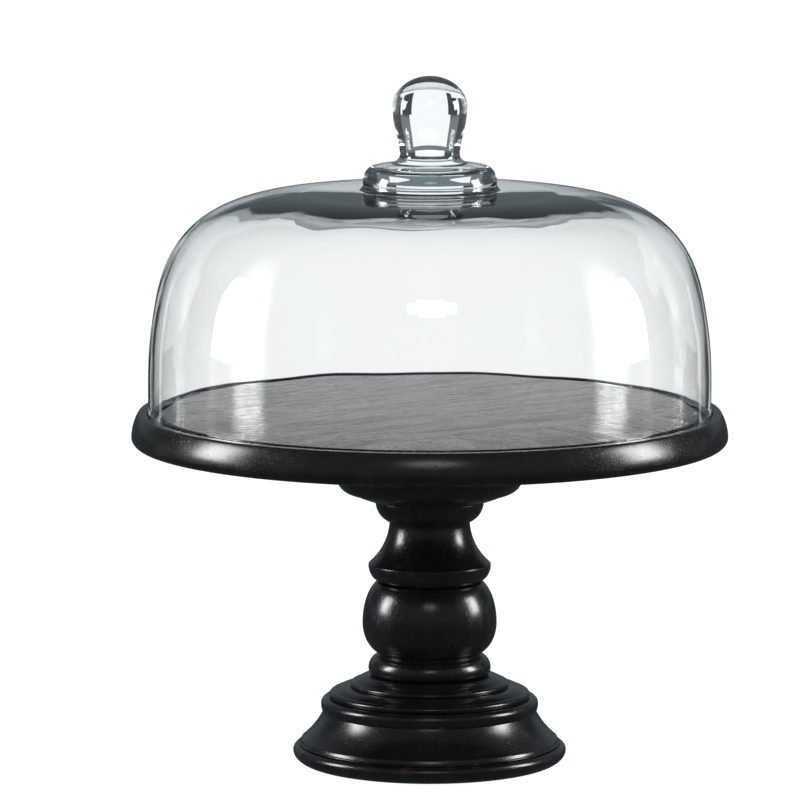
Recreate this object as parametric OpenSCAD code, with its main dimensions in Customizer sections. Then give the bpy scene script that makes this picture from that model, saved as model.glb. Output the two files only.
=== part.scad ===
// Footed cake and display stand with a lift-off glass dome.
// Millimetres, +Z up, origin on the axis at the underside of the foot pads.

/* [Plate] */
// Diameter of the round plate
plate_d = 304.8; // [296:0.2:312]
// Thickness of the plate
plate_t = 16.5; // [15:0.5:20]
// Width of one long stave of the plate
stave_w = 34; // [32:0.5:36]
// Width of one short block at the end of the plate
block_w = 36.4; // [35:0.1:38]
// Direction in which the long staves run
grain_angle = 38; // [30:1:50]

/* [Dome] */
// Outside radius of the glass just above the plate
dome_r = 143.8; // [140:0.1:144]
// Height of the outside of the crown above the plate
crown_h = 113.2; // [108:0.1:118]
// Wall of the glass at the side
wall = 2.8; // [2:0.1:3.4]
// Wall of the glass at the edge of the crown's flat
crown_wall = 4; // [3:0.1:5]
// Glass under the middle of the knob, where the second gather was put on
knob_wall = 10.5; // [7:0.1:12]
// Height of the knob above the crown
knob_h = 58.4; // [54:0.1:62]
// Radius of the widest part of the knob
knob_r = 19.2; // [18:0.1:21]
// Radius of the knob's flange
flange_r = 34.3; // [31:0.1:36]

/* [Stand] */
// Radius of the foot ring
foot_r = 70.1; // [69:0.1:74]
// Height of the base turning
base_h = 45.2; // [44.6:0.1:48]
// Radius of the ball of the stem
ball_r = 34.45; // [33:0.05:36]
// Height of the stem from the base to the mounting disc
stem_h = 90.3; // [88:0.1:94]
// Radius of the mounting disc under the plate
disc_r = 48.5; // [47:0.1:54]
// Height of the mounting disc
disc_h = 29.5; // [28:0.1:34]
// Thickness of the felt pads
pad_t = 2.5; // [1.5:0.1:4]

/* [Hidden] */
$fn = 96;
arc_steps = 8;

// Heights of the pieces in the stack
base_z = pad_t;
stem_z = base_z + base_h;
disc_z = stem_z + stem_h;
plate_z = disc_z + disc_h;
top_z = plate_z + plate_t;

// Groove of the plate that takes the rim of the dome
plate_r = plate_d / 2;
rim_gap = 0.5;
rim_air = 0.3;
groove_depth = 2.6;
groove_inner_r = 136.4;
groove_outer_r = dome_r + rim_gap;
groove_ease = 0.4;

// Edge of the plate
edge_lean = 3.5;
edge_ease = 0.5;
edge_round = 4;
edge_bow = 0.8;

// Staves: the long ones reach to last_joint, and the short blocks lie beyond it
last_joint = 84;
stave_count = 7;
block_joint = -26.7;
block_count = 7;
middle_block = 3;
beyond = plate_d;

// Base mouldings, heights from the underside of the base
foot_mid_z = 6.2;
foot_round = 8.6;
foot_top = [foot_r - 3.1, 9.3];
quirk = [foot_r - 3.8, 8.9];
lip = [foot_r - 3.1, 10.1];
fillet_low = [foot_r - 3.8, 10.7];
fillet_top = [foot_r - 4.3, 12.2];
cavetto_low = [foot_r - 4.8, 12.6];
cavetto_bow = -0.95;
notch = [54.6, 26.4];
bead_mid = [55.8, 30.4];
bead_top = [52.6, 33.5];
step_2_low = [50.6, 33.3];
step_2_mid = [51.4, 35.2];
step_2_top = [49.0, 37.0];
cushion_bow = 0.9;
step_1_low = [40.2, 39.2];
step_1_mid = [40.6, 40.7];
step_1_top = [38.4, 42.1];
seat_edge = [33.6, 44.5];
seat_bow = 0.3;
seat_r = 33;

// Stem mouldings, heights from the underside of the stem
ring_low_r = 28.5;
ring_mid = [31.4, 3.6];
ring_top = [26.0, 10.3];
ball_low = [26.5, 11.4];
ball_mid_z = 27;
ball_low_reach = [12.4, 16.5];
ball_high_reach = [11.8, 23];
ball_top_z = 48;
waist_r = 26.9;
collar_mid = [31.4, 56.8];
collar_edge = [31.3, 57.8];
cove_low = [30.8, 58.2];
cove_top = [20.6, 78.4];
cove_bow = -2.2;
cap_low = [20.8, 79.4];
cap_mid = [27.75, 88.8];
cap_bow = 1.65;

// Mounting disc, heights from its underside
disc_seat_r = 28.6;
disc_shoulder = [40.5, 4.3];
disc_shoulder_bow = 0.4;
disc_belly = [disc_r, 15];
disc_ease = 1;

// Hardware
rod_d = 8;
rod_hole_d = 9;
rod_end = 3;
nut_af = 13;
nut_h = 6.5;
washer_d = 24;
washer_t = 2;
well_d = 28;
well_depth = 14;
thread_gap = 0.1;
tee_flange_d = 20;
tee_flange_t = 1.6;
tee_barrel_d = 10.5;
tee_barrel_h = 12;
rod_top_gap = 1;
screw_d = 4.2;
screw_head_d = 8.4;
screw_head_h = 2.6;
screw_recess = 0.4;
screw_bite = 12;
screw_circle_r = 18;
screw_turn = 20;
screw_count = 4;
pad_d = 16;
pad_circle_r = 38;
pad_turn = 45;

// Dome outline, heights from the top of the plate
rim_z = -groove_depth + rim_air;
side_z = 4;
hip = [dome_r - 4.5, 60];
hip_lean = [0.19, 0.98];
crown_r = 63.5;
crown_drop = 0.8;
gather_bow = 1.6;

// Knob outline, heights from the crown
knob_foot_r = flange_r + 1.6;
flange_wide_z = 3.4;
flange_top = [flange_r - 7.8, 12.9];
knob_waist = [15.2, 18.5];
knob_mid_z = 42.3;

// Quarter of an ellipse that leaves p along the radius and reaches q along the axis
function flat_start(p, q) = [
    for (i = [0:arc_steps])
        let (t = 90 * i / arc_steps)
        [p[0] + (q[0] - p[0]) * sin(t), p[1] + (q[1] - p[1]) * (1 - cos(t))]
];

// Quarter of an ellipse that leaves p along the axis and reaches q along the radius
function steep_start(p, q) = [
    for (i = [0:arc_steps])
        let (t = 90 * i / arc_steps)
        [p[0] + (q[0] - p[0]) * (1 - cos(t)), p[1] + (q[1] - p[1]) * sin(t)]
];

// Part of the ellipse about centre c with half widths a, from angle t0 to t1
function ellipse_part(c, a, t0, t1) = [
    for (i = [0:arc_steps])
        let (t = t0 + (t1 - t0) * i / arc_steps)
        [c[0] + a[0] * cos(t), c[1] + a[1] * sin(t)]
];

// Line from p to q that swells by bow in the middle, outwards when bow is positive
function bowed(p, q, bow) =
    let (d = q - p, side = [d[1], -d[0]] / norm(d))
    [for (i = [0:arc_steps]) let (u = i / arc_steps) p + d * u + side * 4 * bow * u * (1 - u)];

// Cubic curve from p to q with the handles a and b
function curve(p, a, b, q) = [
    for (i = [0:arc_steps * 2])
        let (u = i / (arc_steps * 2), v = 1 - u)
        p * v * v * v + a * 3 * v * v * u + b * 3 * v * u * u + q * u * u * u
];

function backwards(points) = [for (i = [len(points) - 1:-1:0]) points[i]];

module turned(outline) {
    rotate_extrude() polygon(outline);
}

// Outline of the dome wall's face that lies inset by side and crown, from the rim up the crown to last
function dome_face(side, crown, last, bow) = concat(
    curve(
        [dome_r - side, side_z],
        [dome_r - side, side_z + 20],
        [dome_r - side + 0.3, 34.5],
        hip - hip_lean[1] * [side, 0] - hip_lean[0] * [0, side]
    ),
    curve(
        hip - hip_lean[1] * [side, 0] - hip_lean[0] * [0, side],
        [132 - side, 97.6 - side / 2],
        [105, crown_h - crown_drop - 0.78 * crown],
        [crown_r, crown_h - crown_drop - crown]
    ),
    bowed([crown_r, crown_h - crown_drop - crown], last, bow)
);

module glass_dome() {
    outline = concat(
        dome_face(0, 0, [knob_foot_r, crown_h], 0.1),
        [[0, crown_h]],
        backwards(dome_face(wall, crown_wall, [0, crown_h - knob_wall], -gather_bow)),
        steep_start([dome_r - wall, rim_z + wall / 2], [dome_r - wall / 2, rim_z]),
        flat_start([dome_r - wall / 2, rim_z], [dome_r, rim_z + wall / 2])
    );
    color([0.86, 0.92, 0.91, 0.35])
        translate([0, 0, top_z])
        turned(outline);
}

module dome_knob() {
    outline = concat(
        [[0, 0], [knob_foot_r, 0]],
        bowed([knob_foot_r, 0.3], [flange_r, flange_wide_z], -0.35),
        curve(
            [flange_r, flange_wide_z],
            [flange_r, flange_wide_z + 4.8],
            [flange_top[0] + 5.7, flange_top[1]],
            flange_top
        ),
        flat_start([flange_top[0] - 1.5, flange_top[1] + 0.2], knob_waist),
        curve(
            knob_waist,
            [knob_waist[0] + 0.6, knob_waist[1] + 9],
            [knob_r, knob_mid_z - 8],
            [knob_r, knob_mid_z]
        ),
        ellipse_part([0, knob_mid_z], [knob_r, knob_h - knob_mid_z], 4, 90)
    );
    color([0.88, 0.93, 0.92, 0.5])
        translate([0, 0, top_z + crown_h])
        turned(outline);
}

module plate_body() {
    edge_z = plate_t - 12.5;
    outline = concat(
        [[0, 0]],
        flat_start([plate_r - edge_round, 0], [plate_r, edge_z]),
        bowed([plate_r, edge_z], [plate_r - edge_lean, plate_t - edge_ease], edge_bow),
        [[plate_r - edge_lean - edge_ease, plate_t]],
        [[groove_outer_r + groove_ease, plate_t]],
        [[groove_outer_r, plate_t - groove_ease]],
        [[groove_outer_r, plate_t - groove_depth]],
        [[groove_inner_r, plate_t - groove_depth]],
        [[groove_inner_r, plate_t - groove_ease]],
        [[groove_inner_r - groove_ease, plate_t]],
        [[0, plate_t]]
    );
    difference() {
        turned(outline);
        at_screws() cylinder(h = screw_bite + thread_gap, d = screw_d + thread_gap);
    }
}

module plate_slab(x0, x1, y0, y1) {
    color([0.07, 0.07, 0.075])
        translate([0, 0, plate_z])
        intersection() {
            plate_body();
            rotate([0, 0, grain_angle - 90])
                translate([x0, y0, -1])
                cube([x1 - x0, y1 - y0, plate_t + 2]);
        }
}

module plate_stave(i) {
    x1 = last_joint - stave_w * (i - 1);
    x0 = i < stave_count ? x1 - stave_w : -beyond;
    plate_slab(x0, x1, -beyond, beyond);
}

module plate_end_block(i) {
    y0 = block_joint + block_w * (i - 1 - middle_block);
    y1 = y0 + block_w;
    plate_slab(last_joint, beyond, i > 1 ? y0 : -beyond, i < block_count ? y1 : beyond);
}

module at_screws() {
    for (i = [0:screw_count - 1])
        rotate([0, 0, grain_angle - 90 + screw_turn + i * 360 / screw_count])
            translate([screw_circle_r, 0, 0])
            children();
}

module mounting_disc() {
    outline = concat(
        [[0, 0]],
        bowed([disc_seat_r, 0], disc_shoulder, disc_shoulder_bow),
        flat_start(disc_shoulder, disc_belly),
        [[disc_r, disc_h - disc_ease], [disc_r - disc_ease, disc_h], [0, disc_h]]
    );
    color([0.06, 0.06, 0.065])
        translate([0, 0, disc_z])
        difference() {
            turned(outline);
            translate([0, 0, -1]) cylinder(h = disc_h + 2, d = rod_hole_d);
            translate([0, 0, disc_h - tee_flange_t]) cylinder(h = disc_h, d = tee_flange_d);
            translate([0, 0, disc_h - tee_flange_t - tee_barrel_h]) cylinder(h = disc_h, d = tee_barrel_d);
            at_screws() screw_hole();
        }
}

module screw_hole() {
    translate([0, 0, -1]) cylinder(h = disc_h + 2, d = screw_d + thread_gap);
    translate([0, 0, -1]) cylinder(h = 1 + screw_recess, d = screw_head_d + thread_gap);
    translate([0, 0, screw_recess])
        cylinder(h = screw_head_h, d1 = screw_head_d + thread_gap, d2 = screw_d + thread_gap);
}

module stem() {
    outline = concat(
        [[0, 0]],
        flat_start([ring_low_r, 0], ring_mid),
        steep_start(ring_mid, ring_top),
        ellipse_part([ball_r - ball_low_reach[0], ball_mid_z], ball_low_reach, -69, 0),
        ellipse_part([ball_r - ball_high_reach[0], ball_mid_z], ball_high_reach, 0, 67),
        flat_start([collar_mid[0] - 7.6, ball_top_z + 0.2], collar_mid),
        [collar_edge],
        bowed(cove_low, cove_top, cove_bow),
        bowed(cap_low, cap_mid, cap_bow),
        [[cap_mid[0], stem_h], [0, stem_h]]
    );
    color([0.06, 0.06, 0.065])
        translate([0, 0, stem_z])
        difference() {
            turned(outline);
            translate([0, 0, -1]) cylinder(h = stem_h + 2, d = rod_hole_d);
        }
}

module base() {
    outline = concat(
        [[0, 0]],
        flat_start([foot_r - foot_round, 0], [foot_r, foot_mid_z]),
        steep_start([foot_r, foot_mid_z], foot_top),
        [quirk, lip, fillet_low, fillet_top],
        bowed(cavetto_low, notch, cavetto_bow),
        flat_start(notch, bead_mid),
        steep_start(bead_mid, bead_top),
        [step_2_low],
        flat_start(step_2_low, step_2_mid),
        steep_start(step_2_mid, step_2_top),
        bowed(step_2_top, step_1_low, cushion_bow),
        flat_start(step_1_low, step_1_mid),
        steep_start(step_1_mid, step_1_top),
        bowed(step_1_top, seat_edge, seat_bow),
        [[seat_r, base_h], [0, base_h]]
    );
    color([0.06, 0.06, 0.065])
        translate([0, 0, base_z])
        difference() {
            turned(outline);
            translate([0, 0, -1]) cylinder(h = base_h + 2, d = rod_hole_d);
            translate([0, 0, -1]) cylinder(h = well_depth + 1, d = well_d);
        }
}

module tie_rod() {
    rod_top = plate_z - rod_top_gap;
    color([0.62, 0.63, 0.65])
        translate([0, 0, base_z + rod_end])
        cylinder(h = rod_top - base_z - rod_end, d = rod_d);
}

module tee_nut() {
    color([0.7, 0.7, 0.68])
        translate([0, 0, plate_z - tee_flange_t])
        difference() {
            union() {
                cylinder(h = tee_flange_t, d = tee_flange_d - thread_gap);
                translate([0, 0, -tee_barrel_h + thread_gap])
                    cylinder(h = tee_barrel_h, d = tee_barrel_d - thread_gap);
            }
            translate([0, 0, -tee_barrel_h]) cylinder(h = tee_barrel_h * 2, d = rod_d + thread_gap);
        }
}

module rod_washer() {
    color([0.7, 0.7, 0.68])
        translate([0, 0, base_z + well_depth - washer_t])
        difference() {
            cylinder(h = washer_t, d = washer_d);
            translate([0, 0, -1]) cylinder(h = washer_t + 2, d = rod_d + thread_gap * 4);
        }
}

module rod_nut() {
    color([0.7, 0.7, 0.68])
        translate([0, 0, base_z + well_depth - washer_t - nut_h])
        difference() {
            cylinder(h = nut_h, d = nut_af / cos(30), $fn = 6);
            translate([0, 0, -1]) cylinder(h = nut_h + 2, d = rod_d + thread_gap);
        }
}

module plate_screws() {
    color([0.75, 0.72, 0.6])
        translate([0, 0, disc_z])
        at_screws() {
            translate([0, 0, screw_recess]) cylinder(h = screw_head_h, d1 = screw_head_d, d2 = screw_d);
            translate([0, 0, screw_recess + screw_head_h])
                cylinder(h = disc_h + screw_bite - screw_recess - screw_head_h, d = screw_d);
        }
}

module foot_pad(i) {
    color([0.18, 0.17, 0.16])
        rotate([0, 0, pad_turn + (i - 1) * 90])
        translate([pad_circle_r, 0, 0])
        cylinder(h = pad_t, d = pad_d);
}

glass_dome();
dome_knob();
mounting_disc();
stem();
base();
tie_rod();
tee_nut();
rod_washer();
rod_nut();
plate_screws();
for (i = [1:stave_count])
    plate_stave(i);
for (i = [1:block_count])
    plate_end_block(i);
for (i = [1:4])
    foot_pad(i);
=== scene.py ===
"""Footed display stand of painted turned wood with a blown glass dome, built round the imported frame.

Outlines are in millimetres, as (radius, height) from the piece's own underside. Meshes are in metres.
"""

import math

import bmesh
import bpy
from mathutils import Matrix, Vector, noise


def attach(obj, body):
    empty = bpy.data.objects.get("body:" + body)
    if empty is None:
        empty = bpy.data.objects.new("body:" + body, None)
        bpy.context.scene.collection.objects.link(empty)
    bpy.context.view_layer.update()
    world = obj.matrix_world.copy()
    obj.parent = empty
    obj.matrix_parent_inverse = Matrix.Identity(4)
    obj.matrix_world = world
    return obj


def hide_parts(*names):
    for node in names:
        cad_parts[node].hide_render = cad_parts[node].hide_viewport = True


MM = 0.001
TURN = 2 * math.pi

# Heights of the pieces in the stack, in millimetres
PAD_T = 2.5
BASE_H = 45.2
STEM_H = 90.3
DISC_H = 29.5
PLATE_T = 16.5
STEM_Z = PAD_T + BASE_H
DISC_Z = STEM_Z + STEM_H
PLATE_Z = DISC_Z + DISC_H
TOP_Z = PLATE_Z + PLATE_T
CROWN_H = 113.2

# Dome and knob
DOME_R = 143.8
WALL = 2.8
CROWN_WALL = 4.0
KNOB_WALL = 10.5
CROWN_EDGE_DROP = 0.8
RIM_GAP = 0.3
FOOT_R = 35.9
KNOB_R = 19.2
BALL_H = 42.3
KNOB_SINK = 0.08

# Plate
PLATE_R = 152.4
GROOVE_IN = 136.4
GROOVE_OUT = 144.3
GROOVE_DEPTH = 2.6
GRAIN_ANGLE = 38.0
STAVE_W = 34.0
LAST_JOINT = 84.0
STAVES = 7
BLOCK_W = 36.4
BLOCK_JOINT = -26.7
BLOCKS = 7
MIDDLE_BLOCK = 3
OPEN_FROM = 4
JOINT_EASE = 0.05
OPEN_EASE = 0.42

# Hardware
ROD_R = 4.0
BORE_R = 4.05
HOLE_R = 4.5
NUT_FLAT = 6.5
NUT_RIM = 6.1
NUT_H = 6.5
WASHER_R = 12.0
WASHER_T = 2.0
TEE_R = 9.95
TEE_H = 13.5
WELL_R = 14.0
WELL_DEPTH = 14.0
SCREW_RING_R = 18.0
SCREW_TURN = 20.0
SCREWS = 4
PAD_R = 8.0
PAD_RING_R = 38.0


# ---------------------------------------------------------------- outlines


def flat_start(p, q, steps=12):
    """Quarter of an ellipse that leaves p along the radius and reaches q along the axis."""
    ts = [math.pi / 2 * i / steps for i in range(steps + 1)]
    return [(p[0] + (q[0] - p[0]) * math.sin(t), p[1] + (q[1] - p[1]) * (1 - math.cos(t))) for t in ts]


def steep_start(p, q, steps=12):
    """Quarter of an ellipse that leaves p along the axis and reaches q along the radius."""
    ts = [math.pi / 2 * i / steps for i in range(steps + 1)]
    return [(p[0] + (q[0] - p[0]) * (1 - math.cos(t)), p[1] + (q[1] - p[1]) * math.sin(t)) for t in ts]


def ellipse_part(centre, half, start, end, steps=20):
    """Part of the ellipse about centre with half widths half, from angle start to end in degrees."""
    ts = [math.radians(start + (end - start) * i / steps) for i in range(steps + 1)]
    return [(centre[0] + half[0] * math.cos(t), centre[1] + half[1] * math.sin(t)) for t in ts]


def bowed(p, q, bow, steps=14):
    """Line from p to q that swells by bow in the middle, outwards when bow is positive."""
    dx, dz = q[0] - p[0], q[1] - p[1]
    length = math.hypot(dx, dz)
    side = (dz / length, -dx / length)
    points = []
    for i in range(steps + 1):
        u = i / steps
        swell = 4 * bow * u * (1 - u)
        points.append((p[0] + dx * u + side[0] * swell, p[1] + dz * u + side[1] * swell))
    return points


def curve(p, a, b, q, steps=40):
    """Cubic curve from p to q with the handles a and b."""
    points = []
    for i in range(steps + 1):
        u = i / steps
        v = 1 - u
        w = (v * v * v, 3 * v * v * u, 3 * v * u * u, u * u * u)
        points.append(tuple(w[0] * p[k] + w[1] * a[k] + w[2] * b[k] + w[3] * q[k] for k in (0, 1)))
    return points


def eased(points, radius, least=24.0, steps=4):
    """The outline with each corner sharper than least degrees rounded off."""
    kept = [points[0]]
    for p in points[1:]:
        if math.dist(p, kept[-1]) > 1e-4:
            kept.append(p)
    out = [kept[0]]
    for before, here, after in zip(kept, kept[1:], kept[2:]):
        a = Vector(before) - Vector(here)
        b = Vector(after) - Vector(here)
        turn = 180 - math.degrees(a.angle(b))
        cut = min(radius, a.length * 0.45, b.length * 0.45)
        if turn < least or cut < 0.01:
            out.append(here)
            continue
        start = Vector(here) + a.normalized() * cut
        end = Vector(here) + b.normalized() * cut
        for i in range(steps + 1):
            u = i / steps
            p = start * (1 - u) ** 2 + Vector(here) * 2 * u * (1 - u) + end * u * u
            out.append((p[0], p[1]))
    out.append(kept[-1])
    return out


def lifted(points, z):
    return [(r, h + z) for r, h in points]


def base_outline():
    return (
        [(WELL_R, 0.0)]
        + flat_start((61.5, 0.0), (70.1, 6.2))
        + steep_start((70.1, 6.2), (67.0, 9.3))
        + [(66.3, 8.9), (67.0, 10.1), (66.3, 10.7), (65.8, 12.2)]
        + bowed((65.3, 12.6), (54.6, 26.4), -0.95, 24)
        + flat_start((54.6, 26.4), (55.8, 30.4))
        + steep_start((55.8, 30.4), (52.6, 33.5))
        + flat_start((50.6, 33.3), (51.4, 35.2))
        + steep_start((51.4, 35.2), (49.0, 37.0))
        + bowed((49.0, 37.0), (40.2, 39.2), 0.9)
        + flat_start((40.2, 39.2), (40.6, 40.7))
        + steep_start((40.6, 40.7), (38.4, 42.1))
        + bowed((38.4, 42.1), (33.6, 44.5), 0.3)
        + [(33.0, BASE_H), (HOLE_R, BASE_H), (HOLE_R, WELL_DEPTH), (WELL_R, WELL_DEPTH)]
    )


def stem_outline():
    return (
        [(HOLE_R, 0.0)]
        + flat_start((28.5, 0.0), (31.4, 3.6))
        + steep_start((31.4, 3.6), (26.0, 10.3))
        + ellipse_part((22.05, 27.0), (12.4, 16.5), -69, 0)
        + ellipse_part((22.65, 27.0), (11.8, 23.0), 0, 67)
        + flat_start((23.8, 48.2), (31.4, 56.8))
        + [(31.3, 57.8)]
        + bowed((30.8, 58.2), (20.6, 78.4), -2.2, 24)
        + bowed((20.8, 79.4), (27.75, 88.8), 1.65)
        + [(27.75, STEM_H), (HOLE_R, STEM_H)]
    )


def disc_outline():
    return (
        [(HOLE_R, 0.0)]
        + bowed((28.6, 0.0), (40.5, 4.3), 0.4)
        + flat_start((40.5, 4.3), (48.5, 15.0))
        + [(48.5, DISC_H - 1.0), (47.5, DISC_H), (10.0, DISC_H), (10.0, DISC_H - 1.6)]
        + [(5.3, DISC_H - 1.6), (5.3, DISC_H - 13.6), (HOLE_R, DISC_H - 13.6)]
    )


def plate_outline():
    return (
        [(0.0, 0.0)]
        + flat_start((148.4, 0.0), (PLATE_R, 4.0))
        + bowed((PLATE_R, 4.0), (148.9, PLATE_T - 0.5), 0.8)
        + [(148.4, PLATE_T), (GROOVE_OUT + 0.4, PLATE_T), (GROOVE_OUT, PLATE_T - 0.4)]
        + [(GROOVE_OUT, PLATE_T - GROOVE_DEPTH), (GROOVE_IN, PLATE_T - GROOVE_DEPTH)]
        + [(GROOVE_IN, PLATE_T - 0.4), (GROOVE_IN - 0.4, PLATE_T), (0.0, PLATE_T)]
    )


def dome_face(side, crown, last, bow):
    """One face of the dome's wall, set in by side and crown, from the rim up the crown to last."""
    edge_h = CROWN_H - CROWN_EDGE_DROP
    foot = DOME_R - side
    hip = (139.3 - 0.98 * side, 60.0 - 0.19 * side)
    edge = (63.5, edge_h - crown)
    low = curve((foot, 4.0), (foot, 24.0), (144.1 - side, 34.5), hip, 36)
    handle = (105.0, edge_h - 0.78 * crown)
    high = curve(hip, (132.0 - side, 97.6 - side / 2), handle, edge, 60)
    top = bowed(edge, last, bow, 24)
    return low + high[1:] + top[1:]


def dome_outline():
    rim = (DOME_R - WALL / 2, RIM_GAP - GROOVE_DEPTH)
    rim_side = rim[1] + WALL / 2
    outer = dome_face(0.0, 0.0, (FOOT_R, CROWN_H), 0.1)
    inner = dome_face(WALL, CROWN_WALL, (0.0, CROWN_H - KNOB_WALL), -1.6)
    return (
        flat_start(rim, (DOME_R, rim_side), 8)
        + outer
        + [(26.0, CROWN_H), (16.0, CROWN_H), (8.0, CROWN_H), (0.0, CROWN_H)]
        + inner[::-1]
        + steep_start((DOME_R - WALL, rim_side), rim, 8)
    )


def knob_outline():
    return (
        [(0.0, -KNOB_SINK), (20.0, -KNOB_SINK), (FOOT_R - 0.4, -KNOB_SINK)]
        + bowed((FOOT_R, 0.3), (34.3, 3.4), -0.35)
        + curve((34.3, 3.4), (34.3, 8.2), (32.2, 12.9), (26.5, 12.9), 26)
        + flat_start((25.0, 13.1), (15.2, 18.5), 18)
        + curve((15.2, 18.5), (15.8, 27.5), (KNOB_R, 34.3), (KNOB_R, BALL_H), 30)
        + ellipse_part((0.0, BALL_H), (KNOB_R, 16.1), 4, 90, 26)
    )


# ---------------------------------------------------------------- meshes


def finished(name, bm, sharp=32.0):
    """Turns a bmesh into a smooth shaded object."""
    bmesh.ops.recalc_face_normals(bm, faces=bm.faces)
    mesh = bpy.data.meshes.new(name)
    bm.to_mesh(mesh)
    bm.free()
    mesh.shade_smooth()
    mesh.set_sharp_from_angle(angle=math.radians(sharp))
    piece = bpy.data.objects.new(name, mesh)
    bpy.context.scene.collection.objects.link(piece)
    return piece


def turned(outline, segments, warp=None):
    """A bmesh of the outline turned about the axis. An outline that doesn't end on the axis is closed."""
    bm = bmesh.new()
    rings = []
    for i, (r, z) in enumerate(outline):
        if r < 1e-6:
            rings.append([bm.verts.new((0, 0, z * MM))])
            continue
        ring = []
        for j in range(segments):
            a = TURN * j / segments
            p = Vector((r * math.cos(a), r * math.sin(a), z))
            if warp:
                p = warp(p, i)
            ring.append(bm.verts.new(p * MM))
        rings.append(ring)
    pairs = list(zip(rings, rings[1:]))
    if len(rings[0]) > 1:
        pairs.append((rings[-1], rings[0]))
    for low, high in pairs:
        join_rings(bm, low, high, segments)
    return bm


def join_rings(bm, low, high, segments):
    if len(low) == 1 and len(high) == 1:
        return
    for j in range(segments):
        k = (j + 1) % segments
        if len(low) == 1:
            bm.faces.new((low[0], high[k], high[j]))
        elif len(high) == 1:
            bm.faces.new((low[j], low[k], high[0]))
        else:
            bm.faces.new((low[j], low[k], high[k], high[j]))


def mark_wear(piece, outline, z):
    """Stores how exposed each ring of a turned piece is, for the rubbed arrises in the paint."""
    mesh = piece.data
    wear = mesh.attributes.new("wear", "FLOAT", "POINT")
    levels = {}
    for before, here, after in zip(outline, outline[1:], outline[2:]):
        a = Vector(here) - Vector(before)
        b = Vector(after) - Vector(here)
        if a.length < 1e-5 or b.length < 1e-5:
            continue
        bend = (a[0] * b[1] - a[1] * b[0]) / (a.length * b.length)
        tight = math.asin(max(-1.0, min(1.0, bend))) / max(0.25, (a.length + b.length) / 2)
        levels[round(here[1] + z, 3)] = max(0.0, min(1.0, tight / 0.9))
    for v in mesh.vertices:
        wear.data[v.index].value = levels.get(round(v.co.z / MM, 3), 0.0)


def turned_piece(name, outline, z, segments=192, ease=0.35):
    outline = lifted(eased(outline, ease), z)
    piece = finished(name, turned(outline, segments))
    mark_wear(piece, outline, 0.0)
    return piece


def sliced(bm, point, normal):
    """Cuts away what lies beyond the plane and closes the cut."""
    geometry = bm.verts[:] + bm.edges[:] + bm.faces[:]
    cut = bmesh.ops.bisect_plane(
        bm, geom=geometry, dist=1e-7, plane_co=Vector(point) * MM, plane_no=normal, clear_outer=True
    )
    edges = [e for e in cut["geom_cut"] if isinstance(e, bmesh.types.BMEdge)]
    if edges:
        bmesh.ops.triangle_fill(bm, use_beauty=True, use_dissolve=False, edges=edges)


def cut_side(bm, along, offset, sign, ease):
    """Cuts a straight side square to along at offset, with its top edge eased."""
    normal = Vector((along[0] * sign, along[1] * sign, 0))
    side = Vector((along[0], along[1], 0)) * offset
    sliced(bm, side, normal)
    corner = side - normal * ease + Vector((0, 0, TOP_Z))
    sliced(bm, corner, (normal + Vector((0, 0, 1))).normalized())


def plate_piece(name, whole, cuts):
    bm = whole.copy()
    for along, offset, sign, ease in cuts:
        cut_side(bm, along, offset, sign, ease)
    return finished(name, bm, 24.0)


# ---------------------------------------------------------------- glass


def blown(p, inside):
    """Wall of hand-blown glass: broad waves in the crown and faint ones in the side."""
    if math.hypot(p.x, p.y) < 1e-6 or p.z < 2.0:
        return p
    up = min(1.0, max(0.0, (p.z - 60.0) / 45.0))
    where = Vector((p.x * 0.03, p.y * 0.03, p.z * 0.04 + (7.0 if inside else 0.0)))
    wave = noise.noise(where) * (0.05 + 0.16 * up)
    away = (p - Vector((0.0, 0.0, 40.0))).normalized()
    return p + away * (wave if inside else min(0.0, wave - 0.1 - 0.1 * up))


def glass_dome():
    outline = lifted(dome_outline(), TOP_Z)
    shift = Vector((0, 0, TOP_Z))
    first_inside = next(i for i, p in enumerate(outline) if p[0] < 1e-6) + 1
    bm = turned(outline, 288, lambda p, i: blown(p - shift, i >= first_inside) + shift)
    return finished("glass_dome_wall", bm, 60.0)


def dome_knob():
    outline = lifted(eased(knob_outline(), 0.8), TOP_Z + CROWN_H)
    return finished("dome_knob_solid", turned(outline, 192), 60.0)


# ---------------------------------------------------------------- plate


def plate_pieces():
    """The plate's staves and the short blocks beyond the last joint, as pieces by node name."""
    whole = turned(lifted(eased(plate_outline(), 0.5), PLATE_Z), 512)
    turn = math.radians(GRAIN_ANGLE - 90)
    across = (math.cos(turn), math.sin(turn))
    along = (-math.sin(turn), math.cos(turn))
    ease = [JOINT_EASE] * OPEN_FROM + [OPEN_EASE] * (BLOCKS - OPEN_FROM)
    pieces = {}
    for i in range(STAVES):
        high = LAST_JOINT - STAVE_W * i
        cuts = [(across, high, 1, JOINT_EASE)]
        if i < STAVES - 1:
            cuts.append((across, high - STAVE_W, -1, JOINT_EASE))
        name = f"plate_stave_{i + 1}"
        pieces[name] = plate_piece(name + "_wood", whole, cuts)
    for i in range(BLOCKS):
        low = BLOCK_JOINT + BLOCK_W * (i - MIDDLE_BLOCK)
        cuts = [(across, LAST_JOINT, -1, JOINT_EASE)]
        if i > 0:
            cuts.append((along, low, -1, ease[i]))
        if i < BLOCKS - 1:
            cuts.append((along, low + BLOCK_W, 1, ease[i + 1]))
        name = f"plate_end_block_{i + 1}"
        pieces[name] = plate_piece(name + "_wood", whole, cuts)
    whole.free()
    return pieces


# ---------------------------------------------------------------- hardware


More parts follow.
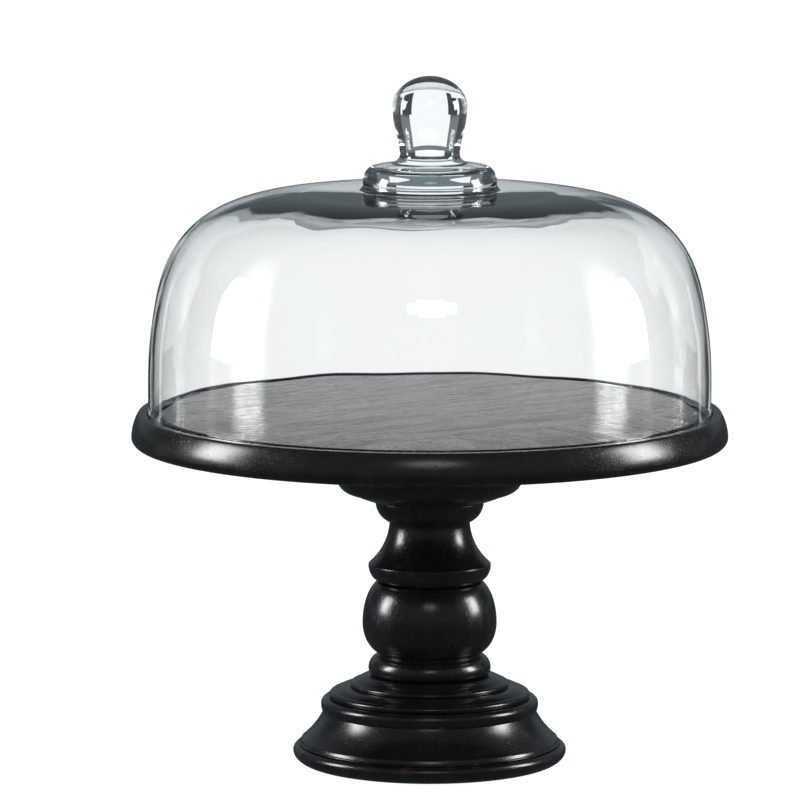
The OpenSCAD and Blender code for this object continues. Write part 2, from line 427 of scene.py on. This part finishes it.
def threaded(low, high, outer, inner, pitch):
    """Outline of a thread from low to high, drawn as rings."""
    points = [(inner, low)]
    z = low + pitch / 2
    while z < high - pitch / 2:
        points += [(outer, z - pitch * 0.08), (outer, z + pitch * 0.08), (inner, z + pitch * 0.42)]
        z += pitch
    return points + [(inner, high)]


def tie_rod():
    low, high = PAD_T + 3.0, PLATE_Z - 1.0
    thread = threaded(low + 0.8, high - 0.8, ROD_R, 3.4, 1.25)
    outline = [(0.0, low), (3.0, low)] + thread + [(3.0, high), (0.0, high)]
    return finished("tie_rod_threaded", turned(outline, 48), 50.0)


def rod_nut():
    def hexed(p, i):
        if i not in (2, 3):
            return p
        a = math.atan2(p.y, p.x)
        r = NUT_FLAT / math.cos((a % (TURN / 6)) - TURN / 12)
        drop = max(0.0, r - NUT_RIM) * math.tan(math.radians(28))
        z = drop if i == 2 else NUT_H - drop
        return Vector((r * math.cos(a), r * math.sin(a), z))

    outline = [(4.4, 0.0), (NUT_RIM, 0.0), (NUT_FLAT, 0.0)]
    outline += [(NUT_FLAT, NUT_H), (NUT_RIM, NUT_H), (4.4, NUT_H)]
    outline += [(BORE_R, NUT_H - 0.35), (BORE_R, 0.35)]
    bm = turned(outline, 96, hexed)
    bmesh.ops.translate(bm, verts=bm.verts, vec=(0, 0, (PAD_T + WELL_DEPTH - WASHER_T - NUT_H) * MM))
    return finished("rod_nut_hex", bm, 22.0)


def rod_washer():
    outline = [(4.2, 0.0), (WASHER_R, 0.0), (WASHER_R, WASHER_T), (4.2, WASHER_T), (4.2, 0.0)]
    outline = lifted(eased(outline, 0.3), PAD_T + WELL_DEPTH - WASHER_T)
    return finished("rod_washer_ring", turned(outline[:-1], 96))


def tee_nut():
    outline = [(BORE_R, 0.0), (5.2, 0.0), (5.2, 11.9), (TEE_R, 11.9)]
    outline += [(TEE_R, TEE_H), (BORE_R, TEE_H), (BORE_R, 0.0)]
    outline = lifted(eased(outline, 0.3), PLATE_Z - TEE_H)
    return finished("tee_nut_flanged", turned(outline[:-1], 96))


def screw():
    """One countersunk wood screw with a cross recess, from its head at 0.4 up."""
    top = DISC_H + 12.0

    def crossed(p, i):
        if i not in (1, 2):
            return p
        a = math.atan2(p.y, p.x)
        slot = max(0.0, math.cos(4 * a)) ** 0.5
        return Vector((p.x, p.y, p.z + 1.1 * slot))

    outline = [(0.0, 1.7), (0.7, 0.4), (1.7, 0.4), (2.1, 0.4), (4.1, 0.4), (4.2, 0.6), (2.1, 3.0)]
    outline += [(2.0, 16.0)] + threaded(16.5, top - 3.0, 2.1, 1.4, 1.8) + [(0.3, top - 0.1), (0.0, top)]
    return turned(outline, 64, crossed)


def plate_screws():
    joined = bmesh.new()
    for k in range(SCREWS):
        bm = screw()
        a = math.radians(GRAIN_ANGLE - 90 + SCREW_TURN + k * 360 / SCREWS)
        place = (SCREW_RING_R * math.cos(a) * MM, SCREW_RING_R * math.sin(a) * MM, DISC_Z * MM)
        bmesh.ops.translate(bm, verts=bm.verts, vec=place)
        mesh = bpy.data.meshes.new("screw")
        bm.to_mesh(mesh)
        bm.free()
        joined.from_mesh(mesh)
        bpy.data.meshes.remove(mesh)
    return finished("plate_screws_set", joined, 40.0)


def foot_pad(i):
    outline = eased([(0.0, 0.0), (PAD_R, 0.0), (PAD_R, PAD_T), (0.0, PAD_T)], 0.6, steps=5)
    bm = turned(outline, 72)
    a = math.radians(45 + 90 * (i - 1))
    place = (PAD_RING_R * math.cos(a) * MM, PAD_RING_R * math.sin(a) * MM, 0)
    bmesh.ops.translate(bm, verts=bm.verts, vec=place)
    return finished(f"foot_pad_{i}_felt", bm, 60.0)


# ---------------------------------------------------------------- materials


class Shader:
    """Short ways to add nodes to one material."""

    def __init__(self, name):
        self.material = bpy.data.materials.new(name)
        self.material.use_nodes = True
        self.nodes = self.material.node_tree.nodes
        self.links = self.material.node_tree.links
        self.surface = self.nodes["Principled BSDF"]

    def add(self, kind, **values):
        node = self.nodes.new(kind)
        for key, value in values.items():
            if key in node.inputs:
                node.inputs[key].default_value = value
            else:
                setattr(node, key, value)
        return node

    def join(self, a, b):
        self.links.new(a, b)

    def set(self, **values):
        for key, value in values.items():
            self.surface.inputs[key.replace("_", " ")].default_value = value

    def place(self, turn=0.0, scale=(1.0, 1.0, 1.0)):
        """Object coordinates turned about Z, then scaled."""
        coordinates = self.add("ShaderNodeTexCoord")
        swung = self.add("ShaderNodeMapping", vector_type="POINT")
        swung.inputs["Rotation"].default_value = (0, 0, -math.radians(turn))
        sized = self.add("ShaderNodeMapping", vector_type="POINT")
        sized.inputs["Scale"].default_value = scale
        self.join(coordinates.outputs["Object"], swung.inputs["Vector"])
        self.join(swung.outputs["Vector"], sized.inputs["Vector"])
        return sized.outputs["Vector"]

    def noise(self, where, scale, detail=2.0, distortion=0.0):
        node = self.add("ShaderNodeTexNoise", Scale=scale, Detail=detail, Distortion=distortion)
        self.join(where, node.inputs["Vector"])
        return node.outputs["Fac"]

    def ramp(self, value, low, high, out_low=0.0, out_high=1.0):
        node = self.add("ShaderNodeMapRange", clamp=True, interpolation_type="SMOOTHSTEP")
        numbers = {"From Min": low, "From Max": high, "To Min": out_low, "To Max": out_high}
        for key, number in numbers.items():
            node.inputs[key].default_value = number
        self.join(value, node.inputs["Value"])
        return node.outputs["Result"]

    def maths(self, operation, a, b):
        node = self.add("ShaderNodeMath", operation=operation)
        for socket, value in zip(node.inputs, (a, b)):
            if isinstance(value, (int, float)):
                socket.default_value = value
            else:
                self.join(value, socket)
        return node.outputs["Value"]

    def mix(self, factor, a, b):
        node = self.add("ShaderNodeMix", data_type="RGBA")
        self.join(factor, node.inputs["Factor"])
        for socket, value in zip((node.inputs[6], node.inputs[7]), (a, b)):
            if isinstance(value, tuple):
                socket.default_value = value
            else:
                self.join(value, socket)
        return node.outputs[2]

    def bump(self, height, strength, distance, base=None):
        node = self.add("ShaderNodeBump", Strength=strength, Distance=distance)
        self.join(height, node.inputs["Height"])
        if base:
            self.join(base, node.inputs["Normal"])
        return node.outputs["Normal"]


# Colour of the paint where it is full, thin and rubbed through, and its roughness on turnings and plate
PAINT = (0.0042, 0.0042, 0.0050, 1.0)
PAINT_THIN = (0.0075, 0.0068, 0.0070, 1.0)
RUBBED = (0.085, 0.036, 0.018, 1.0)
SHINE = 0.20
TOP_SHINE = 0.25

# Tint and density of the glass
DOME_GLASS = ((0.76, 0.89, 0.91, 1.0), 30.0)
KNOB_GLASS = ((0.84, 0.90, 0.93, 1.0), 12.0)

ZINC = (0.62, 0.63, 0.65, 1.0)
YELLOW_ZINC = (0.68, 0.58, 0.36, 1.0)
FELT_DARK = (0.03, 0.028, 0.026, 1.0)
FELT_PALE = (0.12, 0.11, 0.10, 1.0)

# Dark streaks in the plate's grain, in metres: across, width, middle along the grain, half length, strength
STREAKS = (
    (-0.058, 0.007, -0.009, 0.050, 1.0),
    (-0.038, 0.005, -0.060, 0.030, 0.5),
    (-0.016, 0.006, 0.055, 0.045, 0.5),
)


def streaks(s, turn):
    """How much of each point of the plate lies in one of the dark streaks of its grain."""
    split = s.add("ShaderNodeSeparateXYZ")
    s.join(s.place(turn), split.inputs["Vector"])
    sway = s.maths("MULTIPLY", s.noise(s.place(turn, (0.3, 1.0, 1.0)), 60.0, 2.0), 0.012)
    total = 0.0
    for across, width, middle, half, strength in STREAKS:
        sideways = s.maths("SUBTRACT", split.outputs["Y"], across + 0.006)
        off = s.maths("ABSOLUTE", s.maths("ADD", sideways, sway), 0.0)
        past = s.maths("ABSOLUTE", s.maths("SUBTRACT", split.outputs["X"], middle), 0.0)
        near = s.ramp(off, 0.2 * width, 1.1 * width, strength, 0.0)
        inside = s.ramp(past, 0.6 * half, 1.3 * half, 1.0, 0.0)
        total = s.maths("ADD", s.maths("MULTIPLY", near, inside), total)
    return total


def paint(name, turn, stretch, worn=False, plate=False):
    """Satin black paint over open-pored wood, with the grain along the stretched axis."""
    s = Shader(name)
    grain = s.place(turn, stretch)
    plain = s.place()
    pores = s.ramp(s.noise(grain, 1150.0, 2.0), 0.60, 0.72)
    figure = s.noise(grain, 120.0, 3.0, 0.6)
    speckle = s.noise(plain, 1700.0, 2.0)
    patch = s.noise(plain, 55.0, 3.0)
    blend = s.maths("ADD", s.maths("MULTIPLY", figure, 0.6), s.maths("MULTIPLY", patch, 0.4))
    tone = s.ramp(blend, 0.35, 0.7)
    colour = s.mix(tone, PAINT, PAINT_THIN)
    rough = s.maths("ADD", s.ramp(tone, 0.0, 1.0, SHINE, SHINE + 0.04), s.maths("MULTIPLY", pores, 0.15))
    if plate:
        rough = s.maths("ADD", rough, top_roughness(s, turn, tone))
    if worn:
        exposed = s.add("ShaderNodeAttribute", attribute_name="wear").outputs["Fac"]
        rub = s.maths("MULTIPLY", exposed, s.ramp(s.noise(plain, 60.0, 4.0), 0.54, 0.74, 0.0, 0.8))
        colour = s.mix(rub, colour, RUBBED)
        rough = s.maths("ADD", rough, s.maths("MULTIPLY", rub, 0.2))
    s.join(colour, s.surface.inputs["Base Color"])
    s.join(rough, s.surface.inputs["Roughness"])
    fine = s.bump(speckle, 0.4, 0.00004)
    s.join(s.bump(s.maths("SUBTRACT", 1.0, pores), 0.28, 0.00006, fine), s.surface.inputs["Normal"])
    s.set(IOR=1.45)
    return s.material


def top_roughness(s, turn, tone):
    """Extra roughness of the plate's top face, where the paint was rubbed down along the grain."""
    geometry = s.add("ShaderNodeNewGeometry")
    split = s.add("ShaderNodeSeparateXYZ")
    s.join(geometry.outputs["True Normal"], split.inputs["Vector"])
    top = s.ramp(split.outputs["Z"], 0.9, 0.98, 0.0, TOP_SHINE - SHINE)
    fine = s.noise(s.place(turn, (0.05, 1.0, 1.0)), 420.0, 3.0, 0.3)
    lines = s.maths("ADD", s.ramp(fine, 0.35, 0.65, 0.75, 1.15), s.maths("MULTIPLY", tone, 0.15))
    dark = s.maths("ADD", s.maths("MULTIPLY", streaks(s, turn), 0.9), lines)
    return s.maths("MULTIPLY", top, dark)


def glass(name, tint, density):
    s = Shader(name)
    s.set(Base_Color=(1.0, 1.0, 1.0, 1.0), Roughness=0.0, IOR=1.5, Transmission_Weight=1.0)
    ripple = s.noise(s.place(0.0, (1.0, 1.0, 0.35)), 45.0, 1.0)
    s.join(s.bump(ripple, 0.25, 0.0003), s.surface.inputs["Normal"])
    volume = s.add("ShaderNodeVolumeAbsorption", Color=tint, Density=density)
    s.join(volume.outputs["Volume"], s.nodes["Material Output"].inputs["Volume"])
    return s.material


def metal(name, colour, rough):
    s = Shader(name)
    s.set(Base_Color=colour, Metallic=1.0)
    where = s.place()
    scratched = s.ramp(s.noise(where, 400.0, 4.0), 0.3, 0.7, rough - 0.08, rough + 0.1)
    s.join(scratched, s.surface.inputs["Roughness"])
    s.join(s.bump(s.noise(where, 2500.0, 2.0), 0.2, 0.00005), s.surface.inputs["Normal"])
    return s.material


def felt():
    s = Shader("felt")
    where = s.place()
    fibre = s.noise(where, 1800.0, 5.0, 1.5)
    s.join(s.mix(fibre, FELT_DARK, FELT_PALE), s.surface.inputs["Base Color"])
    s.set(Roughness=0.95, Sheen_Weight=0.4)
    s.join(s.bump(fibre, 0.8, 0.0004), s.surface.inputs["Normal"])
    return s.material


def dress(piece, material, slot, body, *nodes):
    piece.data.materials.clear()
    piece.data.materials.append(material)
    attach(piece, body)
    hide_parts(*nodes)


# ---------------------------------------------------------------- the object


def build_dome():
    clear = glass("dome_glass", *DOME_GLASS)
    thick = glass("knob_glass", *KNOB_GLASS)
    dress(glass_dome(), clear, "dome_glass", "dome", "glass_dome")
    dress(dome_knob(), thick, "knob_glass", "dome", "dome_knob")


def build_plate():
    for name, piece in plate_pieces().items():
        block = "block" in name
        turn = GRAIN_ANGLE + (90 if block else 0)
        material = paint(name + "_paint", turn, (0.12, 1.0, 1.0), plate=True)
        dress(piece, material, "plate_paint", "stand", name)


def build_turned():
    upright = paint("stem_paint", 0.0, (1.0, 1.0, 0.14), worn=True)
    level = paint("base_paint", 20.0, (0.14, 1.0, 1.0), worn=True)
    disc = paint("disc_paint", 65.0, (0.14, 1.0, 1.0), worn=True)
    dress(turned_piece("base_turning", base_outline(), PAD_T, 256), level, "turned_paint", "stand", "base")
    dress(turned_piece("stem_turning", stem_outline(), STEM_Z), upright, "turned_paint", "stand", "stem")
    piece = turned_piece("mounting_disc_turning", disc_outline(), DISC_Z)
    dress(piece, disc, "turned_paint", "stand", "mounting_disc")


def build_hardware():
    zinc = metal("zinc_steel", ZINC, 0.34)
    yellow = metal("screw_steel", YELLOW_ZINC, 0.3)
    dress(tie_rod(), zinc, "zinc_steel", "stand", "tie_rod")
    dress(tee_nut(), zinc, "zinc_steel", "stand", "tee_nut")
    dress(rod_washer(), zinc, "zinc_steel", "stand", "rod_washer")
    dress(rod_nut(), zinc, "zinc_steel", "stand", "rod_nut")
    dress(plate_screws(), yellow, "screw_steel", "stand", "plate_screws")
    soft = felt()
    for i in range(1, 5):
        dress(foot_pad(i), soft, "felt", "stand", f"foot_pad_{i}")


# ---------------------------------------------------------------- the studio

CAMERA_PLACE = (0.0, -3.45, 0.675)
CAMERA_DOWN = 8.008
CAMERA_TURN = 0.252
CAMERA_LENS = 307.1

# Radiance of the white cards that are seen through the glass, and of the dark ones at the sides
WHITE = 1.06
SHADE = 0.06

# Distance of the panels behind the axis and of the cards from it
PANEL_Y = 0.165
CARD_REACH = 3.0
SHADE_REACH = 3.3
STRIP_REACH = 1.6
FLOOR_R = 14.0

# White strips that show in the gloss at each side, as (name, bearing, half width, top, radiance)
STRIPS = (
    ("strip_main", 84, 3.0, 0.28, 0.55),
    ("strip_front", 106.5, 1.2, 0.3, 0.5),
    ("strip_back", 60, 1.2, 0.2, 0.5),
)

# Soft boxes at the sides are three nested lights, so that their edges fall off
SIDE_BOXES = ((0.34, 0.52), (0.40, 0.62), (0.46, 0.70))
SIDE_RADIANCE = 8.0
FRONT_RADIANCE = 2.3
AIM_SIDE = (0, 0, 0.25)
AIM_FRONT = (0, 0, 0.2)

# Grey of the surroundings from straight down to straight up
SKY = ((0.0, 0.06), (0.5, 0.06), (0.53, 0.22), (0.74, 0.22), (0.82, 0.18), (1.0, 0.18))


def add_camera():
    data = bpy.data.cameras.new("camera")
    data.sensor_width = 36.0
    data.lens = CAMERA_LENS
    data.clip_start = 0.1
    data.clip_end = 60.0
    camera = bpy.data.objects.new("camera", data)
    camera.location = CAMERA_PLACE
    camera.rotation_euler = (math.radians(90 - CAMERA_DOWN), 0.0, math.radians(CAMERA_TURN))
    bpy.context.scene.collection.objects.link(camera)
    bpy.context.scene.camera = camera


def glow(name, colour, strength):
    s = Shader(name)
    s.set(Base_Color=(0.0, 0.0, 0.0, 1.0), Roughness=1.0, Emission_Color=colour, Emission_Strength=strength)
    return s.material


def seen_by(thing, *kinds):
    """Leaves the thing visible only to these kinds of ray."""
    for kind in ("camera", "diffuse", "glossy", "transmission", "shadow", "volume_scatter"):
        setattr(thing, "visible_" + kind, kind in kinds)


def card(name, bearing, half, reach, low, high, strength, *kinds):
    """A curved white card round the object. Its bearing is counted from behind the object, towards -X."""
    bm = bmesh.new()
    steps = max(2, int(half))
    rows = []
    for i in range(steps + 1):
        a = math.radians(bearing - half + 2 * half * i / steps)
        x, y = -math.sin(a) * reach, math.cos(a) * reach
        rows.append((bm.verts.new((x, y, low)), bm.verts.new((x, y, high))))
    for (a, b), (c, d) in zip(rows, rows[1:]):
        bm.faces.new((a, c, d, b))
    light_up(finished(name, bm), strength, *kinds)


def panel(name, half, low, high):
    """A small flat white card close behind the object, seen only through the glass."""
    bm = bmesh.new()
    corners = ((-half, low), (half, low), (half, high), (-half, high))
    bm.faces.new([bm.verts.new((x, PANEL_Y, z)) for x, z in corners])
    light_up(finished(name, bm), WHITE, "transmission")


def light_up(piece, strength, *kinds):
    piece.data.materials.append(glow(piece.name, (1.0, 1.0, 1.0, 1.0), strength))
    seen_by(piece, *kinds)


def add_floor():
    bm = bmesh.new()
    bmesh.ops.create_circle(bm, cap_ends=True, segments=96, radius=FLOOR_R)
    floor = finished("floor", bm)
    s = Shader("floor")
    s.set(Base_Color=(0.2, 0.2, 0.2, 1.0), Roughness=0.8, Emission_Color=(1.0, 1.0, 1.0, 1.0))
    s.set(Emission_Strength=1.0)
    floor.data.materials.append(s.material)
    seen_by(floor, "camera", "diffuse", "shadow")
    card("backdrop", 0.0, 180.0, FLOOR_R - 0.1, 0.0, 7.0, 1.0, "camera")


def add_cards():
    """White cards behind the glass where it is looked at from, with dark gaps between."""
    card("card_behind", 0, 20, CARD_REACH, -2.4, 0.45, WHITE, "transmission")
    panel("panel_plate", 0.150, 0.187, 0.262)
    panel("panel_knob", 0.060, 0.336, 0.41)
    for bearing, half, low, high in ((45, 18, -1.7, -0.7), (225, 16, -0.8, -0.28)):
        card(f"card_{bearing}", bearing, half, CARD_REACH, low, high, WHITE, "transmission")
    for side in (1, -1):
        add_side_cards(side)


def add_side_cards(side):
    card(f"card_knob_{side}", side * 37, 2.0, CARD_REACH, -1.6, 0.4, 1.0, "transmission")
    card(f"card_side_{side}", side * 90, 10, CARD_REACH, -0.2, 0.4, WHITE, "transmission")
    card(f"shade_{side}", side * 78, 38, SHADE_REACH, 0.4, 1.4, SHADE, "transmission", "glossy")
    for name, bearing, half, high, radiance in STRIPS:
        card(f"{name}_{side}", side * bearing, half, STRIP_REACH, -0.1, high, radiance, "glossy")


def add_light(name, place, aim, size, radiance):
    data = bpy.data.lights.new(name, "AREA")
    data.shape = "RECTANGLE"
    data.size, data.size_y = size
    data.energy = radiance * math.pi * size[0] * size[1]
    light = bpy.data.objects.new(name, data)
    light.location = place
    light.rotation_euler = (Vector(aim) - Vector(place)).to_track_quat("-Z", "Y").to_euler()
    light.visible_camera = False
    bpy.context.scene.collection.objects.link(light)


def add_world():
    world = bpy.data.worlds.new("studio")
    bpy.context.scene.world = world
    world.use_nodes = True
    nodes, links = world.node_tree.nodes, world.node_tree.links
    where = nodes.new("ShaderNodeTexCoord")
    split = nodes.new("ShaderNodeSeparateXYZ")
    ramp = nodes.new("ShaderNodeValToRGB")
    links.new(where.outputs["Generated"], split.inputs["Vector"])
    rise = nodes.new("ShaderNodeMapRange")
    rise.inputs["From Min"].default_value = -1.0
    links.new(split.outputs["Z"], rise.inputs["Value"])
    links.new(rise.outputs["Result"], ramp.inputs["Fac"])
    for k, (at, grey) in enumerate(SKY):
        stop = ramp.color_ramp.elements[k] if k < 2 else ramp.color_ramp.elements.new(at)
        stop.position = at
        stop.color = (grey * 0.86, grey, grey * 1.09, 1.0)
    links.new(ramp.outputs["Color"], nodes["Background"].inputs["Color"])


def add_lights():
    for side, name in ((-1, "left"), (1, "right")):
        for k, size in enumerate(SIDE_BOXES):
            place = (side * (1.35 + 0.01 * k), -0.05, 0.58)
            add_light(f"softbox_{name}_{k}", place, AIM_SIDE, size, SIDE_RADIANCE)
    add_light("softbox_front_wide", (0.05, -2.75, 1.75), AIM_FRONT, (1.1, 0.45), FRONT_RADIANCE)
    add_light("softbox_front_tall", (0.05, -2.76, 1.76), AIM_FRONT, (0.60, 0.75), FRONT_RADIANCE)


def add_studio():
    bpy.context.scene.view_settings.view_transform = "Standard"
    add_camera()
    add_floor()
    add_cards()
    add_world()
    add_lights()


def main():
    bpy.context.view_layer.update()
    add_studio()
    build_dome()
    build_plate()
    build_turned()
    build_hardware()


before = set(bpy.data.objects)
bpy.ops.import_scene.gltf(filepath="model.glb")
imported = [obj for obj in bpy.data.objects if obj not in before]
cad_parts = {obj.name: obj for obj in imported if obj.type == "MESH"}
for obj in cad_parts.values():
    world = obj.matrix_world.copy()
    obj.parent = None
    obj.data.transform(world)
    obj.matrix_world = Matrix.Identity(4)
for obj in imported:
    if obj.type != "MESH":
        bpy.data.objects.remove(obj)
main()
